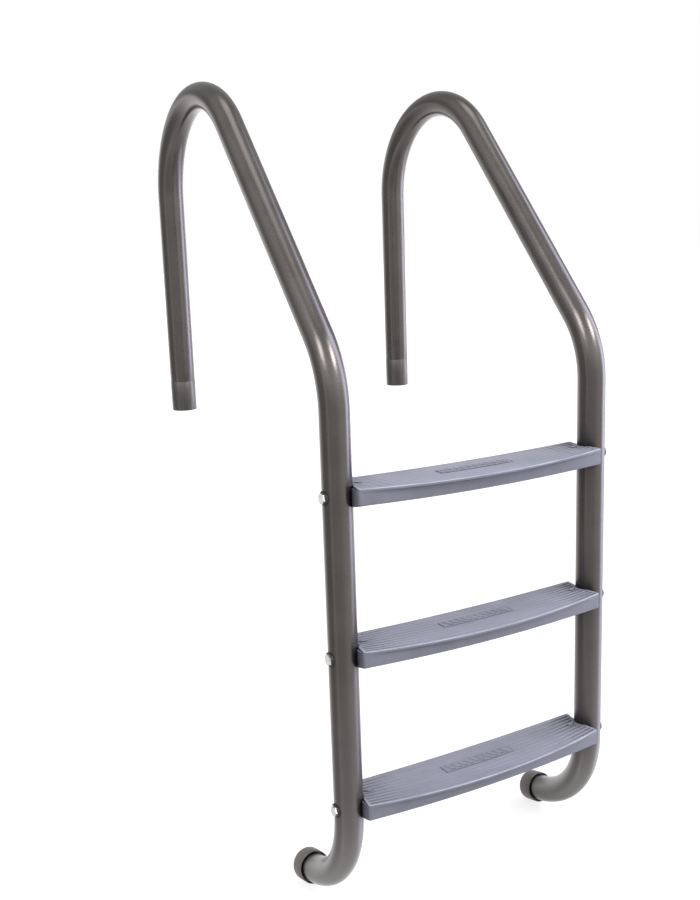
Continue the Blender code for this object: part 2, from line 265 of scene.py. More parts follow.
def piece(name, mesh, material, node, matrix=IN_PLACE):
    """A piece of the visual model, made from a copy of a mesh, in place of one CAD node."""
    own = mesh.copy()
    own.name = name
    own.transform(matrix)
    own.materials.clear()
    own.materials.append(material)
    made = bpy.data.objects.new(name, own)
    shown.objects.link(made)
    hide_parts(node)
    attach(made, "root")


# ------------------------ materials

class Nodes:
    """Short calls for building one node tree."""

    def __init__(self, owner, coordinates):
        owner.use_nodes = True
        self.tree = owner.node_tree
        self.position = self.tree.nodes.new("ShaderNodeTexCoord").outputs[coordinates]

    def node(self, kind, **settings):
        made = self.tree.nodes.new(kind)
        for key, value in settings.items():
            setattr(made, key, value)
        return made

    def set(self, socket, value):
        """Links or fills one input of the shader or of any node."""
        if isinstance(value, bpy.types.NodeSocket):
            self.tree.links.new(value, socket)
        else:
            socket.default_value = value

    def noise(self, scale, detail, rough, stretch=None):
        """Noise from 0 to 1, with scale features per metre, times a stretch along each axis."""
        made = self.node("ShaderNodeTexNoise")
        vector = self.position
        if stretch is not None:
            mapping = self.node("ShaderNodeMapping")
            self.set(mapping.inputs["Vector"], vector)
            self.set(mapping.inputs["Scale"], stretch)
            vector = mapping.outputs["Vector"]
        self.set(made.inputs["Vector"], vector)
        self.set(made.inputs["Scale"], scale)
        self.set(made.inputs["Detail"], detail)
        self.set(made.inputs["Roughness"], rough)
        return made.outputs["Fac"]

    def remap(self, value, low, high, to_low=0.0, to_high=1.0):
        """A smooth step from to_low, where the value is at low, to to_high, where it is at high."""
        made = self.node("ShaderNodeMapRange", interpolation_type="SMOOTHSTEP")
        for name, number in (("Value", value), ("From Min", low), ("From Max", high),
                             ("To Min", to_low), ("To Max", to_high)):
            self.set(made.inputs[name], number)
        return made.outputs["Result"]

    def math(self, operation, a, b=0.0):
        made = self.node("ShaderNodeMath", operation=operation)
        self.set(made.inputs[0], a)
        self.set(made.inputs[1], b)
        return made.outputs[0]

    def times(self, a, b):
        return self.math("MULTIPLY", a, b)

    def plus(self, a, b):
        return self.math("ADD", a, b)

    def minus(self, a, b):
        return self.math("SUBTRACT", a, b)

    def mix(self, factor, a, b, blend="MIX"):
        made = self.node("ShaderNodeMix", data_type="RGBA", blend_type=blend)
        self.set(made.inputs[0], factor)
        self.set(made.inputs[6], a)
        self.set(made.inputs[7], b)
        return made.outputs[2]

    def axis(self, name):
        made = self.node("ShaderNodeSeparateXYZ")
        self.set(made.inputs[0], self.position)
        return made.outputs[name]

    def openness(self, reach):
        """1 on open surfaces, falling towards 0 in grooves and gaps narrower than this reach."""
        made = self.node("ShaderNodeAmbientOcclusion", samples=8)
        self.set(made.inputs["Distance"], reach)
        return made.outputs["AO"]

    def upward(self):
        """How far the surface faces up: 1 on top, 0 on upright walls."""
        made = self.node("ShaderNodeSeparateXYZ")
        self.set(made.inputs[0], self.node("ShaderNodeNewGeometry").outputs["Normal"])
        return made.outputs["Z"]

    def bump(self, height, strength, distance, normal=None):
        made = self.node("ShaderNodeBump")
        self.set(made.inputs["Height"], height)
        self.set(made.inputs["Strength"], strength)
        self.set(made.inputs["Distance"], distance)
        if normal is not None:
            self.set(made.inputs["Normal"], normal)
        return made.outputs["Normal"]


class Shader(Nodes):
    """One principled material."""

    def __init__(self, name):
        self.material = bpy.data.materials.new(name)
        super().__init__(self.material, "Object")
        self.main = self.tree.nodes["Principled BSDF"]

    def principled(self, **inputs):
        for name, value in inputs.items():
            self.set(self.main.inputs[name.replace("_", " ")], value)
        return self.material


# Colours are linear RGB, with an alpha of 1
PEWTER = (0.108, 0.097, 0.093, 1)
PEWTER_CLOUD = (0.122, 0.110, 0.106, 1)
PEWTER_STREAK = (0.130, 0.117, 0.111, 1)
PEWTER_PIT = (0.074, 0.067, 0.065, 1)
PEWTER_PAINTED_FLOOR_LIGHT = (0.200, 0.186, 0.184, 1)
PEWTER_PAINTED_FOOT_LIGHT = (0.265, 0.256, 0.258, 1)
PEWTER_IN_ANCHOR = (0.104, 0.102, 0.099, 1)
PEWTER_IN_SHADE = (0.016, 0.013, 0.013, 1)
PEWTER_CONTACT_SHADE = (0.020, 0.012, 0.014, 1)
MARK_BLUR = 0.0008


def rail_material():
    """Pewter powder coat: a satin metallic sheen with a fine grain, duller on the legs' last stretch."""
    s = Shader("pewter_powder_coat")
    cloud = s.noise(14, 4, 0.6)
    streak = s.noise(60, 3, 0.6, stretch=(1, 1, 0.06))
    grain = s.noise(1400, 2, 0.6)
    height = s.axis("Z")
    colour = s.mix(s.remap(cloud, 0.35, 0.65), PEWTER, PEWTER_CLOUD)
    colour = s.mix(s.remap(streak, 0.3, 0.7, 0.0, 0.45), colour, PEWTER_STREAK)
    colour = s.mix(s.remap(grain, 0.4, 0.75, 0.0, 0.22), colour, PEWTER_PIT)

    # Paler and duller the lower it is. The paler colour is painted light, standing in for light thrown up
    # from the floor
    colour = s.mix(s.remap(height, 0.12, 0.55, 0.5, 0.0), colour, PEWTER_PAINTED_FLOOR_LIGHT)
    colour = s.mix(s.remap(height, 0.10, 0.26, 0.5, 0.0), colour, PEWTER_PAINTED_FOOT_LIGHT)
    rough = s.plus(s.remap(grain, 0.3, 0.7, 0.20, 0.27), s.remap(cloud, 0.3, 0.7, 0.0, 0.05))
    rough = s.plus(rough, s.remap(height, 0.20, 0.95, 0.13, 0.0))

    # Rubbed where the leg goes into its anchor
    on_leg = s.math("GREATER_THAN", s.axis("Y"), LEG_Y - 2 * TUBE_RADIUS)
    below_mark = s.remap(height, LEG_MARK_Z - MARK_BLUR, LEG_MARK_Z + MARK_BLUR, 1.0, 0.0)
    band = s.times(on_leg, below_mark)
    colour = s.mix(s.times(band, 0.4), colour, PEWTER_IN_ANCHOR)
    rough = s.plus(rough, s.times(band, 0.11))

    # Painted shade: darker inside the tube, and where a tread or a bumper meets it
    colour = s.mix(s.remap(s.openness(0.10), 0.25, 0.95, 0.85, 0.0), colour, PEWTER_IN_SHADE)
    colour = s.mix(s.remap(s.openness(0.045), 0.45, 0.92, 0.75, 0.0), colour, PEWTER_CONTACT_SHADE)
    normal = s.bump(s.noise(300, 2, 0.5), 0.10, 0.0004)
    normal = s.bump(grain, 0.10, 0.0002, normal)
    return s.principled(Base_Color=colour, Metallic=0.86, Roughness=rough, Normal=normal,
                        Coat_Weight=0.35, Coat_Roughness=0.14)


def tread_rim_highlight(s):
    """A painted highlight, strongest on the rounded rims of the top plate, along its bowed front and at its
    two ends.
    """
    x, y = s.axis("X"), s.minus(s.axis("Y"), RAIL_Y)
    share = s.math("DIVIDE", x, HALF_TREAD)
    crown = s.minus(1.0, s.times(share, share))
    from_lip = s.plus(s.plus(y, TREAD_FRONT), s.times(crown, LIP_BULGE))
    past_front = s.math("MAXIMUM", s.minus(TREAD_FRONT, s.math("ABSOLUTE", y)), 0.0)
    end = s.minus(HALF_TREAD, s.times(past_front, HORN_SLANT))
    from_end = s.minus(end, s.math("ABSOLUTE", x))
    at_lip = s.remap(from_lip, 0.0010, 0.0026, 0.75, 0.0)
    at_end = s.remap(from_end, 0.0012, 0.0040, 0.60, 0.0)
    near = s.math("MAXIMUM", at_lip, at_end)
    patchy = s.remap(s.noise(16, 3, 0.6), 0.35, 0.65, 0.35, 1.0)
    return s.times(s.times(near, s.remap(s.upward(), 0.15, 0.55)), patchy)


TREAD_BLUE = (0.130, 0.141, 0.173, 1)
TREAD_MOTTLE = (0.166, 0.173, 0.217, 1)
TREAD_FLOW = (0.190, 0.193, 0.246, 1)
TREAD_STAIN = (0.150, 0.152, 0.160, 1)
TREAD_PIT = (0.118, 0.126, 0.160, 1)
TREAD_SCUFF = (0.38, 0.385, 0.44, 1)
TREAD_GROOVE_SHADE = (0.048, 0.051, 0.064, 1)
TREAD_IN_SHADE = (0.040, 0.042, 0.052, 1)
TREAD_RIM_HIGHLIGHT = (0.46, 0.47, 0.54, 1)
TOP_FACE_LIGHT_GAIN = (1.56, 1.56, 1.54, 1)


def tread_material():
    """Blue-grey moulded plastic: satin and softly mottled, painted paler on top as if lit from above, with
    painted shade in its grooves and under its lip and a painted highlight along its rims.
    """
    s = Shader("moulded_tread_plastic")
    mottle = s.noise(22, 5, 0.62)
    flow = s.noise(9, 4, 0.6, stretch=(0.35, 1.6, 1.0))
    stain = s.noise(34, 4, 0.7, stretch=(0.5, 1.2, 1.0))
    fine = s.noise(900, 3, 0.65)
    scuff = s.noise(60, 6, 0.75, stretch=(0.3, 1.4, 1.0))
    colour = s.mix(s.remap(mottle, 0.3, 0.7), TREAD_BLUE, TREAD_MOTTLE)
    colour = s.mix(s.remap(flow, 0.35, 0.7, 0.0, 0.6), colour, TREAD_FLOW)
    colour = s.mix(s.remap(stain, 0.52, 0.72, 0.0, 0.5), colour, TREAD_STAIN)
    colour = s.mix(s.remap(fine, 0.3, 0.75, 0.0, 0.25), colour, TREAD_PIT)
    colour = s.mix(s.remap(scuff, 0.60, 0.78, 0.0, 0.25), colour, TREAD_SCUFF)
    # Painted light: faces that turn upwards are made paler, as if lit from above
    colour = s.mix(s.remap(s.upward(), 0.45, 0.90), colour, TOP_FACE_LIGHT_GAIN, "MULTIPLY")
    # Painted shade: darker in grooves and narrow gaps, and in the shade under the lip
    colour = s.mix(s.remap(s.openness(0.0045), 0.52, 0.99, 0.88, 0.0), colour, TREAD_GROOVE_SHADE)
    colour = s.mix(s.remap(s.openness(0.030), 0.30, 1.0, 0.75, 0.0), colour, TREAD_IN_SHADE)
    # Painted highlight along the rounded rims of the top
    colour = s.mix(tread_rim_highlight(s), colour, TREAD_RIM_HIGHLIGHT)
    rough = s.remap(mottle, 0.25, 0.75, 0.38, 0.50)
    normal = s.bump(fine, 0.10, 0.0003)
    normal = s.bump(s.noise(170, 3, 0.5), 0.06, 0.0006, normal)
    return s.principled(Base_Color=colour, Metallic=0.0, Roughness=rough, Normal=normal)


STEEL = (0.80, 0.80, 0.785, 1)
STEEL_DULL = (0.62, 0.62, 0.60, 1)
NYLON = (0.010, 0.010, 0.011, 1)
NYLON_CLOUD = (0.022, 0.021, 0.022, 1)
BUMPER_GREY = (0.108, 0.098, 0.094, 1)
BUMPER_CLOUD = (0.148, 0.136, 0.130, 1)
BUMPER_PIT = (0.076, 0.069, 0.067, 1)
BUMPER_SCUFF = (0.26, 0.24, 0.225, 1)


def steel_material():
    """Stainless fastener steel with fine turning marks and a few dull spots."""
    s = Shader("stainless_fastener")
    turned = s.noise(500, 3, 0.6, stretch=(4.0, 0.6, 0.6))
    dull = s.noise(180, 4, 0.6)
    colour = s.mix(s.remap(dull, 0.45, 0.7), STEEL, STEEL_DULL)
    rough = s.plus(s.remap(dull, 0.4, 0.75, 0.20, 0.36), s.remap(turned, 0.3, 0.7, 0.0, 0.06))
    normal = s.bump(turned, 0.08, 0.0002)
    return s.principled(Base_Color=colour, Metallic=1.0, Roughness=rough, Normal=normal)


def nylon_material():
    """Black moulded nylon, matte and a little cloudy."""
    s = Shader("black_nylon")
    fine = s.noise(1200, 3, 0.6)
    cloud = s.noise(90, 3, 0.5)
    colour = s.mix(s.remap(cloud, 0.35, 0.7), NYLON, NYLON_CLOUD)
    return s.principled(Base_Color=colour, Roughness=s.remap(cloud, 0.3, 0.7, 0.42, 0.58),
                        Normal=s.bump(fine, 0.12, 0.0002))


def bumper_material():
    """Moulded plastic in the rails' grey, with a fine spark-eroded texture and scattered scuffs."""
    s = Shader("moulded_bumper_plastic")
    fine = s.noise(1000, 3, 0.6)
    cloud = s.noise(40, 4, 0.6)
    scuff = s.noise(130, 5, 0.7)
    colour = s.mix(s.remap(cloud, 0.35, 0.68), BUMPER_GREY, BUMPER_CLOUD)
    colour = s.mix(s.remap(fine, 0.4, 0.75, 0.0, 0.4), colour, BUMPER_PIT)
    colour = s.mix(s.remap(scuff, 0.60, 0.76, 0.0, 0.35), colour, BUMPER_SCUFF)
    return s.principled(Base_Color=colour, Roughness=s.remap(cloud, 0.3, 0.7, 0.46, 0.6),
                        Normal=s.bump(fine, 0.22, 0.0003))


# ------------------------ rails

TUBE_SIDES = 96
BEND_STEP = radians(2.5)
STRAIGHT_STEP = 0.05
BEND_FLATTENS = 0.014
BEND_WIDENS = 0.006
DEBURR = 0.0003
DEBURR_LENGTH = 0.0004
MARK_HALF_WIDTH = 0.0006
MARK_FLOOR_HALF_WIDTH = 0.0002
MARK_DEPTH = 0.00022
RAIL_DRILL_LENGTH = 0.06
TOUCHING = 0.0001


def fillet(before, corner, after):
    """Points along the arc of the tube's bend between two straight runs that meet at a corner."""
    to_before = (before - corner).normalized()
    to_after = (after - corner).normalized()
    half = to_before.angle(to_after) / 2
    centre = corner + (to_before + to_after).normalized() * BEND_RADIUS / sin(half)
    start = corner + to_before * BEND_RADIUS / tan(half) - centre
    end = corner + to_after * BEND_RADIUS / tan(half) - centre
    first = atan2(start.y, start.x)
    sweep = (atan2(end.y, end.x) - first + pi) % (2 * pi) - pi
    count = round(abs(sweep) / BEND_STEP)
    angles = [first + sweep * i / count for i in range(count + 1)]
    return [centre + Vector((cos(angle), sin(angle))) * BEND_RADIUS for angle in angles]


def rail_centre_line():
    """(y, z, how far into a bend) from the open leg end over the top and down to the foot."""
    slope_start = Vector((RAIL_Y, TREAD_TOPS["upper"] + SLOPE_START_ABOVE_UPPER_TREAD))
    setback = LEG_Y - RAIL_Y
    slope_end = slope_start + Vector((setback, setback / tan(SLOPE_FROM_VERTICAL)))
    leg_end = Vector((LEG_Y, LEG_END_Z))
    foot_tangent = BEND_RADIUS * tan(FOOT_BEND / 2)
    foot_corner = Vector((RAIL_Y, FOOT_START_Z - foot_tangent))
    foot_end = foot_corner + Vector((cos(FOOT_DIP), -sin(FOOT_DIP))) * (foot_tangent + FOOT_STRAIGHT)
    bends = [fillet(leg_end, slope_end, slope_start),
             fillet(slope_end, slope_start, foot_corner),
             fillet(slope_start, foot_corner, foot_end)]
    heights = [LEG_END_Z, LEG_END_Z + DEBURR_LENGTH]
    heights += [LEG_MARK_Z + offset for offset in (-MARK_HALF_WIDTH, -MARK_FLOOR_HALF_WIDTH,
                                                   MARK_FLOOR_HALF_WIDTH, MARK_HALF_WIDTH)]
    points = [(Vector((LEG_Y, height)), 0.0) for height in heights]
    for bend in bends:
        previous = points[-1][0]
        pieces = max(1, round((bend[0] - previous).length / STRAIGHT_STEP))
        points += [(previous.lerp(bend[0], i / pieces), 0.0) for i in range(1, pieces)]
        last = len(bend) - 1
        points += [(point, min(1.0, 4 * min(i, last - i) / last)) for i, point in enumerate(bend)]
    points.append((foot_end, 0.0))
    return points


def tube_rings(points, radius, side_x, chamfer, mark_depth):
    """Rings square to the line. Bends are flattened a hair, the end is deburred and the leg is scribed."""
    rings = []
    last = len(points) - 1
    for i, (point, bend) in enumerate(points):
        before = points[max(0, i - 1)][0]
        after = points[min(last, i + 1)][0]
        along = (after - before).normalized()
        normal = Vector((-along.y, along.x))
        r = radius - (chamfer if i in (0, last) else 0.0)
        if point.x > LEG_Y - TOUCHING and abs(point.y - LEG_MARK_Z) < MARK_FLOOR_HALF_WIDTH + TOUCHING:
            r -= mark_depth
        in_plane = r * (1 - BEND_FLATTENS * bend)
        across = r * (1 + BEND_WIDENS * bend)
        ring = []
        for k in range(TUBE_SIDES):
            angle = 2 * pi * k / TUBE_SIDES
            offset = normal * (in_plane * sin(angle))
            ring.append((side_x + across * cos(angle), point.x + offset.x, point.y + offset.y))
        rings.append(ring)
    return rings


def build_rails(material):
    points = rail_centre_line()
    for side in SIDES:
        outer = tube_rings(points, TUBE_RADIUS, RAIL_X[side], DEBURR, MARK_DEPTH)
        inner = tube_rings(points, TUBE_RADIUS - TUBE_WALL, RAIL_X[side], -DEBURR, 0.0)
        skin = loft(f"{side} rail skin", outer + inner[::-1], wrap=True)
        drills = []
        for level in LEVELS:
            at = (RAIL_X[side], RAIL_Y, TREAD_TOPS[level] - BOLT_BELOW_TREAD_TOP)
            drills.append(bolt_hole(at, RAIL_DRILL_LENGTH))
        mesh = finished(combined(f"{side} rail", skin, drills), 40)
        piece(f"{side}_rail_tube", mesh, material, f"{side}_rail")


# ------------------------ treads

# The grip grooves, as (share of the pitch, share of the depth), and the plain borders round them
GROOVES = 9
GROOVE_SHAPE = ((0.05, 0), (0.30, 0), (0.50, 0), (0.58, 0.30), (0.63, 0.85),
                (0.70, 1), (0.78, 1), (0.86, 1), (0.93, 0.85), (0.99, 0.30))
GROOVE_DEPTH_IN_MIDDLE = 0.0004
GROOVE_DEPTH_ADDED_AT_ENDS = 0.0016
GROOVES_DEEPEN_FROM = 0.58
GROOVES_DEEPEN_TO = 0.90
FIELD_SINK = 0.0004
FIELD_EDGE = 0.0008
END_BORDER = 0.0052
FRONT_BORDER = 0.0050
REAR_BORDER = 0.0035
BORDER_RUN = 0.0004

# Roundings and steps of the outer shape
EDGE_ROUND = 0.0015
CORNER_ROUND = 0.0035
BASE_ROUND = 0.0012
SHOULDER_DEPTH = 0.0034
SHOULDER_DRAFT = 0.0012
SEAT_FLARE = 0.0011
SEAT_FLARE_AT_DROP = 0.8
SEAT_SIDES = 120

# Steps along each stretch of a section, and the exponents of the undercut's curve and of its steps
ROUND_STEPS = 4
UNDERCUT_STEPS = 8
SKIRT_STEPS = 4
BASE_ROUND_STEPS = 3
BASE_STEPS = 16
REAR_STEPS = 5
UNDERCUT_CURVE = 0.9
UNDERCUT_STEPS_GROW = 1.6

# From each end inwards: sections in the end's rounding, close ones down to one x, wide ones to another
ROUNDING_SECTIONS = 10
CLOSE_SECTIONS_TO = 0.205
CLOSE_SECTION_STEP = 0.0012
WIDE_SECTION_STEP = 0.005
WIDE_SECTIONS_TO = 0.006

# How far the cutters reach past the surfaces that they cut
CUTTER_PAST = 0.012
SHOULDER_CUT_TO = 0.004
CELL_CUT_TO = 0.042
SEAT_CUT_FROM = -0.05
SEAT_CUT_TO = 0.02
TREAD_DRILL_LENGTH = 0.04

# The hollows' front walls follow the bowed skirt at these heights
CELL_HEIGHTS = (-TOP_PLATE, -0.0065, -0.0085, -UNDERCUT_DEPTH, -0.020, -TREAD_THICKNESS, -CELL_CUT_TO)
CELL_STEPS = 4


def crown_at(x):
    """1 in the middle of the tread and 0 at its ends, for its bowed front and its dished top."""
    return max(0.0, 1 - (x / HALF_TREAD) ** 2)


def front_bulge(z):
    """How far the middle of the front stands out at a height: lip, hollowed undercut and skirt."""
    if z > -LIP_DEPTH:
        return LIP_BULGE
    if z > -UNDERCUT_DEPTH:
        t = (-z - LIP_DEPTH) / (UNDERCUT_DEPTH - LIP_DEPTH)
        return LIP_BULGE + (UNDERCUT_BULGE - LIP_BULGE) * sin(t * pi / 2) ** UNDERCUT_CURVE
    t = (-z - UNDERCUT_DEPTH) / (TREAD_THICKNESS - UNDERCUT_DEPTH)
    return UNDERCUT_BULGE + (BASE_BULGE - UNDERCUT_BULGE) * t


def top_depth(x, y, groove):
    """How far the grooved field lies below the borders, with a share of its grooves' depth added."""
    from_end = HALF_TREAD - HORN_SLANT * max(0.0, TREAD_FRONT - abs(y)) - abs(x)
    from_seat = sqrt((RAIL_SPACING / 2 - abs(x)) ** 2 + y * y) - SEAT_RADIUS
    field = smoothstep(END_BORDER - FIELD_EDGE, END_BORDER + FIELD_EDGE, min(from_end, from_seat))
    towards_end = smoothstep(GROOVES_DEEPEN_FROM, GROOVES_DEEPEN_TO, abs(x) / HALF_TREAD)
    depth = GROOVE_DEPTH_IN_MIDDLE + GROOVE_DEPTH_ADDED_AT_ENDS * towards_end
    return (FIELD_SINK + depth * groove) * field


def rounding(x, radius):
    """How far a rounding of this radius draws a surface in at x, close to the tread's end."""
    past = abs(x) - (HALF_TREAD - radius)
    return radius - sqrt(max(0.0, radius**2 - past**2)) if past > 0 else 0.0


def seat_drop(x, y):
    """How far the wall round a rail seat reaches below the rest of the tread's base."""
    ramp = (abs(x) - WALL_INSIDE - SEAT_RAMP_PAST_NUT_WALL) / SEAT_RAMP
    return SEAT_DROP * min(1.0, max(0.0, ramp)) * max(0.0, 1 - (y / TREAD_FRONT) ** 2)


def grooved_top(x, rear, front):
    """Points over the tread's top at x, from its rear border to its front border."""
    points = [(rear + BORDER_RUN, 0.0)]
    for number in range(GROOVES):
        for share, groove in GROOVE_SHAPE:
            y = rear + (front - rear) * (number + share) / GROOVES
            points.append((y, -top_depth(x, y, groove)))
    return points + [(front - BORDER_RUN, 0.0)]


def tread_section(x):
    """One closed loop of (y, z) round the tread at x, drawn in where its ends are rounded."""
    crown = crown_at(x)
    lip = -(TREAD_FRONT + LIP_BULGE * crown)
    base = -(TREAD_FRONT + BASE_BULGE * crown)
    above_base = -TREAD_THICKNESS + BASE_ROUND

    loop = arc((TREAD_REAR - EDGE_ROUND, -EDGE_ROUND), EDGE_ROUND, 0, 90, ROUND_STEPS)
    loop += grooved_top(x, TREAD_REAR - REAR_BORDER, lip + FRONT_BORDER)
    loop += arc((lip + EDGE_ROUND, -EDGE_ROUND), EDGE_ROUND, 90, 180, ROUND_STEPS)
    loop += [(lip, -LIP_DEPTH * share) for share in (0.8, 1.0)]
    heights = [-LIP_DEPTH - (UNDERCUT_DEPTH - LIP_DEPTH) * (step / UNDERCUT_STEPS) ** UNDERCUT_STEPS_GROW
               for step in range(1, UNDERCUT_STEPS + 1)]
    heights += [-UNDERCUT_DEPTH + (above_base + UNDERCUT_DEPTH) * step / SKIRT_STEPS
                for step in range(1, SKIRT_STEPS + 1)]
    loop += [(-(TREAD_FRONT + front_bulge(z) * crown), z) for z in heights]
    loop += arc((base + BASE_ROUND, above_base), BASE_ROUND, 180, 270, BASE_ROUND_STEPS)[1:]
    loop += [(base + BASE_ROUND + (TREAD_REAR - 2 * BASE_ROUND - base) * step / BASE_STEPS, -TREAD_THICKNESS)
             for step in range(1, BASE_STEPS)]
    loop += arc((TREAD_REAR - BASE_ROUND, above_base), BASE_ROUND, 270, 360, BASE_ROUND_STEPS)
    loop += [(TREAD_REAR, above_base - (above_base + EDGE_ROUND) * step / REAR_STEPS)
             for step in range(1, REAR_STEPS)]

    middle_y, middle_z = (TREAD_REAR + lip) / 2, -TREAD_THICKNESS / 2
    deep, high = (TREAD_REAR - lip) / 2, TREAD_THICKNESS / 2
    drawn = []
    for y, z in loop:
        drop = seat_drop(x, y) if z < above_base - TOUCHING else 0.0
        y = middle_y + (y - middle_y) * (1 - rounding(x, CORNER_ROUND) / deep)
        z = middle_z + (z - middle_z) * (1 - rounding(x, EDGE_ROUND) / high)
        drawn.append((y, z - drop - TREAD_DISH * crown))
    return drawn


def tread_stations():
    """Every x of a section, close together near the ends, where the borders and the rounding are."""
    right = [HALF_TREAD - CORNER_ROUND * (1 - cos(pi / 2 * step / ROUNDING_SECTIONS))
             for step in range(ROUNDING_SECTIONS + 1)]
    while right[-1] > CLOSE_SECTIONS_TO:
        right.append(right[-1] - CLOSE_SECTION_STEP)
    while right[-1] > WIDE_SECTIONS_TO:
        right.append(right[-1] - WIDE_SECTION_STEP)
    return right + [-x for x in reversed(right)]


def tread_block():
    """The tread's outer shape with its grip grooves, lip and undercut."""
    return loft("tread block", [[(x, y, z) for y, z in tread_section(x)] for x in tread_stations()])


def shoulder_cutter(sign):
    """Draws the top plate's end in towards the rail seat, which leaves a low shoulder outside it."""
    rings = []
    for height, draft in ((-SHOULDER_DEPTH, SHOULDER_DRAFT), (SHOULDER_CUT_TO, -SHOULDER_DRAFT)):
        inner = [(HALF_TREAD + draft + HORN_SLANT * CUTTER_PAST, -TREAD_FRONT - CUTTER_PAST),
                 (HALF_TREAD + draft - HORN_SLANT * TREAD_FRONT, 0),
                 (HALF_TREAD + draft + HORN_SLANT * CUTTER_PAST, TREAD_FRONT + CUTTER_PAST)]
        outline = inner + [(HALF_TREAD + CUTTER_PAST, TREAD_FRONT + CUTTER_PAST),
                           (HALF_TREAD + CUTTER_PAST, -TREAD_FRONT - CUTTER_PAST)]
        rings.append([(sign * x, y, height) for x, y in outline])
    return loft("shoulder", rings)


def cell_block(x_from, x_to, rear, front):
    """A hollow under the tread between two y. A front ahead of the rails follows the bowed skirt."""
    rings = []
    for step in range(CELL_STEPS + 1):
        x = x_from + (x_to - x_from) * step / CELL_STEPS
        crown = crown_at(x)
        bow = crown if front < 0 else 0.0
        loop = [(rear, -TOP_PLATE)]
        loop += [(front - front_bulge(max(z, -TREAD_THICKNESS)) * bow, z) for z in CELL_HEIGHTS]
        loop += [(rear, -CELL_CUT_TO)]
        rings.append([(x, y, z - TREAD_DISH * crown) for y, z in loop])
    return loft("cell", rings)


def tread_cells():
    """(x from, x to, rear, front) of each hollow: a bay for each nut, and two rows between them."""
    rear = TREAD_REAR - SKIRT
    front = SKIRT - TREAD_FRONT
    bay_end = WALL_INSIDE - NUT_BAY
    cells = [(-WALL_INSIDE, -bay_end, rear, front), (bay_end, WALL_INSIDE, rear, front)]
    span = 2 * (bay_end - RIB)
    width = (span - (CELL_ROWS - 1) * RIB) / CELL_ROWS
    for row in range(CELL_ROWS):
        x_from = -span / 2 + row * (width + RIB)
        cells.append((x_from, x_from + width, rear, RIB / 2))
        cells.append((x_from, x_from + width, -RIB / 2, front))
    return cells


# The pad: a frame and a row of bars on a plate. Ramps run from one distance or share to another
PAD_LENGTH = 0.142
PAD_DEPTH = 0.0212
PAD_Y = -0.0058
PAD_FLOOR = 0.0001
PAD_RELIEF = 0.0015
PAD_ROOT = 0.003
PAD_COLUMNS = 220
PAD_ROWS = 34
FRAME_OUTER_RAMP = (0.0, 0.0006)
FRAME_INNER_RAMP = (0.0012, 0.0019)
FRAME_RELIEF_SHARE = 0.45
BARS_FROM_EDGE_RAMP = (0.0030, 0.0038)
BARS = 10
BAR_PITCH = 0.0126
BAR_SLANT = 0.45
BAR_RISE = (0.18, 0.28)
BAR_FALL = (0.62, 0.72)


def pad_height(x, y):
    """Height of the pad's relief at a place measured from its middle."""
    to_edge = min(PAD_LENGTH / 2 - abs(x), PAD_DEPTH / 2 - abs(y))
    rim = smoothstep(*FRAME_OUTER_RAMP, to_edge) * (1 - smoothstep(*FRAME_INNER_RAMP, to_edge))
    slanted = x + BAR_SLANT * y
    phase = (slanted / BAR_PITCH) % 1.0
    bar = smoothstep(*BAR_RISE, phase) * (1 - smoothstep(*BAR_FALL, phase))
    inside = smoothstep(*BARS_FROM_EDGE_RAMP, to_edge) * (abs(slanted) < BAR_PITCH * BARS / 2)
    return max(FRAME_RELIEF_SHARE * rim, bar * inside) * PAD_RELIEF


def pad_plate():
    """The plate in the middle of the tread: a raised frame round a row of slanting grip bars."""
    verts = []
    for j in range(PAD_ROWS + 1):
        y = (j / PAD_ROWS - 0.5) * PAD_DEPTH
        for i in range(PAD_COLUMNS + 1):
            x = (i / PAD_COLUMNS - 0.5) * PAD_LENGTH
            verts.append((x, y + PAD_Y, PAD_FLOOR + pad_height(x, y) - TREAD_DISH * crown_at(x)))
    wide = PAD_COLUMNS + 1
    faces = [(j * wide + i, j * wide + i + 1, (j + 1) * wide + i + 1, (j + 1) * wide + i)
             for j in range(PAD_ROWS) for i in range(PAD_COLUMNS)]
    rim = list(range(PAD_COLUMNS))
    rim += [j * wide + PAD_COLUMNS for j in range(PAD_ROWS)]
    rim += [PAD_ROWS * wide + PAD_COLUMNS - i for i in range(PAD_COLUMNS)]
    rim += [(PAD_ROWS - j) * wide for j in range(PAD_ROWS)]
    base = len(verts)
    around = len(rim)
    verts += [(verts[index][0], verts[index][1], -TREAD_DISH - PAD_ROOT) for index in rim]
    for k in range(around):
        n = (k + 1) % around
        faces.append((rim[n], rim[k], base + k, base + n))
    faces.append(tuple(base + k for k in range(around)))
    return from_faces(verts, faces, "pad plate")


def seat_cutter():
    """The rail's seat in the tread's end, opened out a little at its top and bottom edges."""
    wide = SEAT_RADIUS + SEAT_FLARE
    base = -TREAD_THICKNESS - SEAT_FLARE_AT_DROP * SEAT_DROP
    profile = [(0, SEAT_CUT_FROM), (wide, SEAT_CUT_FROM)]
    profile += arc((wide, base + SEAT_FLARE), SEAT_FLARE, 270, 180, 4)
    profile += arc((wide, -SEAT_FLARE), SEAT_FLARE, 180, 90, 4)
    profile += [(wide, SEAT_CUT_TO), (0, SEAT_CUT_TO)]
    return lathe("rail seat", profile, SEAT_SIDES)


EYE_HALF_LENGTH = 0.0078
EYE_HALF_WIDTH = 0.0036
EYE_TIP_HALF_WIDTH = 0.00015
EYE_HEIGHT = 0.0009
EYE_TIP_LOWER = 0.85
EYE_PLACE = (0.2160, 0.0015, -0.0001)
EYE_TURN = radians(12)
EYE_SIDES = 12
EYE_STEPS = 8


